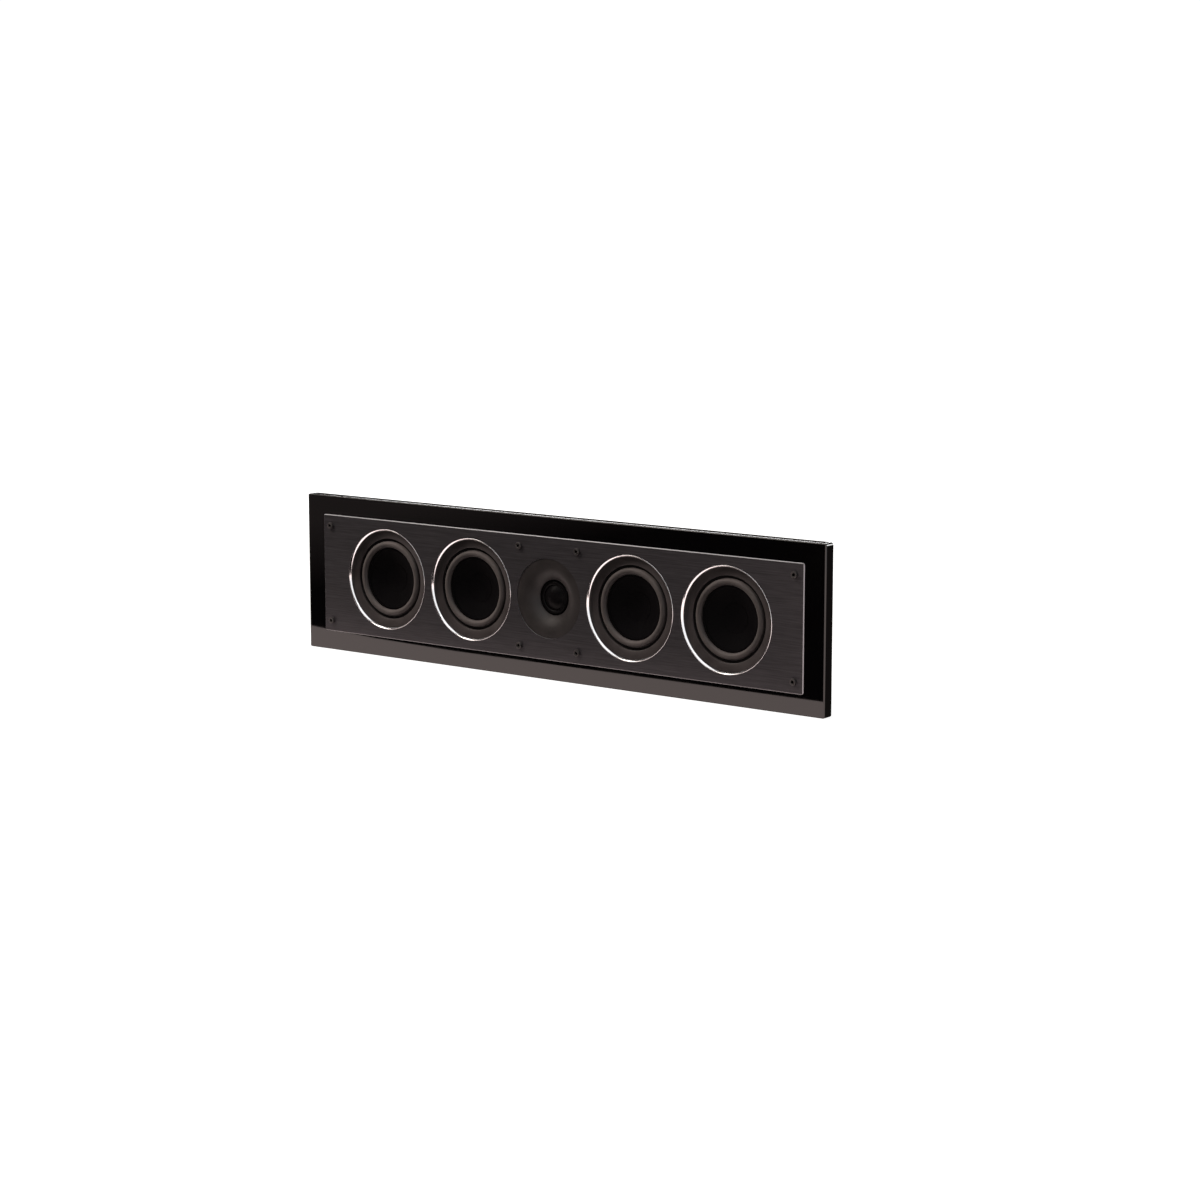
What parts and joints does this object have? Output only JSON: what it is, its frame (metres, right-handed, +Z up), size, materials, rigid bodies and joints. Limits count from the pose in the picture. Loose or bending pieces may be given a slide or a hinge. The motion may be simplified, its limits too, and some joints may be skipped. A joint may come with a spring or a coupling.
{
  "type": "on-wall speaker",
  "caption": "Slim horizontal on-wall loudspeaker: gloss board, brushed plate with ringed woofers round a waveguide tweeter, shallow cabinet with keyholes and binding posts.",
  "frame": {"origin": "middle of the cabinet's back face, which lies on the wall", "axes": "+X to the right seen from the front, along the length; +Y into the wall; +Z up"},
  "size_m": [0.714, 0.055, 0.18],
  "materials": {
    "gloss_lacquer": "gloss black lacquer over fibreboard",
    "brushed_aluminium": "brushed, dark anodised",
    "cabinet_plastic": "moulded, fine texture",
    "closed_foam": "closed-cell foam",
    "socket_rubber": "satin",
    "chrome_plating": "polished",
    "trim_plastic": "satin",
    "surround_rubber": "satin",
    "cone_paper": "coated, matte",
    "cast_basket": "die-cast, black painted",
    "copper_winding": "enamelled copper",
    "spider_cloth": "resin-dipped cloth",
    "plated_steel": "zinc-plated",
    "ferrite": "sintered",
    "black_screws": "black zinc",
    "bright_screws": "zinc-plated",
    "waveguide_plastic": "moulded, satin",
    "dome_cloth": "coated silk",
    "circuit_board": "solder mask",
    "capacitor_film": "wrapped film",
    "resistor_ceramic": "cement",
    "cup_plastic": "moulded",
    "gilt_brass": "gilt",
    "red_plastic": "gloss",
    "black_plastic": "gloss",
    "pad_rubber": "matte",
    "damping_foam": "open-cell foam"
  },
  "bodies": {
    "root": {"front_board": "gloss_lacquer", "brushed_plate": "brushed_aluminium", "rear_cabinet": "cabinet_plastic", "cabinet_gasket": "closed_foam", "grille_sockets": "socket_rubber", "woofer_1_chrome_ring": "chrome_plating", "woofer_2_chrome_ring": "chrome_plating", "woofer_3_chrome_ring": "chrome_plating", "woofer_4_chrome_ring": "chrome_plating", "woofer_1_trim_ring": "trim_plastic", "woofer_2_trim_ring": "trim_plastic", "woofer_3_trim_ring": "trim_plastic", "woofer_4_trim_ring": "trim_plastic", "woofer_1_surround": "surround_rubber", "woofer_2_surround": "surround_rubber", "woofer_3_surround": "surround_rubber", "woofer_4_surround": "surround_rubber", "woofer_1_cone": "cone_paper", "woofer_2_cone": "cone_paper", "woofer_3_cone": "cone_paper", "woofer_4_cone": "cone_paper", "woofer_1_dust_cap": "cone_paper", "woofer_2_dust_cap": "cone_paper", "woofer_3_dust_cap": "cone_paper", "woofer_4_dust_cap": "cone_paper", "woofer_1_basket": "cast_basket", "woofer_2_basket": "cast_basket", "woofer_3_basket": "cast_basket", "woofer_4_basket": "cast_basket", "woofer_voice_coils": "copper_winding", "tweeter_voice_coil": "copper_winding", "crossover_coils": "copper_winding", "woofer_spiders": "spider_cloth", "woofer_top_plates": "plated_steel", "woofer_pole_plates": "plated_steel", "tweeter_top_plate": "plated_steel", "tweeter_pot": "plated_steel", "post_nuts": "plated_steel", "keyhole_plates": "plated_steel", "woofer_magnets": "ferrite", "tweeter_magnet": "ferrite", "woofer_screws": "black_screws", "cabinet_screws": "black_screws", "tweeter_screws": "bright_screws", "small_screws": "bright_screws", "waveguide": "waveguide_plastic", "tweeter_dome": "dome_cloth", "crossover_board": "circuit_board", "crossover_capacitors": "capacitor_film", "crossover_resistors": "resistor_ceramic", "terminal_cup": "cup_plastic", "binding_posts": "gilt_brass", "bracket_inserts": "gilt_brass", "wall_pads": "pad_rubber", "damping_foam": "damping_foam"},
    "red_washer": {"red_post_washer": "gilt_brass"},
    "red_cap": {"red_post_cap": "red_plastic"},
    "black_washer": {"black_post_washer": "gilt_brass"},
    "black_cap": {"black_post_cap": "black_plastic"}
  },
  "joints": [
    {"name": "red_washer_slide", "type": "slide", "parent": "root", "child": "red_washer", "axis": [0, 1, 0], "range_m": [0, 0.004]},
    {"name": "red_cap_turn", "type": "hinge", "parent": "red_washer", "child": "red_cap", "pos_m": [0.0095, -0.01, -0.049], "axis": [0, 1, 0], "range_deg": [0, 1440]},
    {"name": "black_washer_slide", "type": "slide", "parent": "root", "child": "black_washer", "axis": [0, 1, 0], "range_m": [0, 0.004]},
    {"name": "black_cap_turn", "type": "hinge", "parent": "black_washer", "child": "black_cap", "pos_m": [-0.0095, -0.01, -0.049], "axis": [0, 1, 0], "range_deg": [0, 1440]}
  ],
  "couplings": [
    {"joint": "red_cap_turn", "follows": "red_washer_slide", "rad_per_m": 6283.1},
    {"joint": "black_cap_turn", "follows": "black_washer_slide", "rad_per_m": 6283.1}
  ]
}
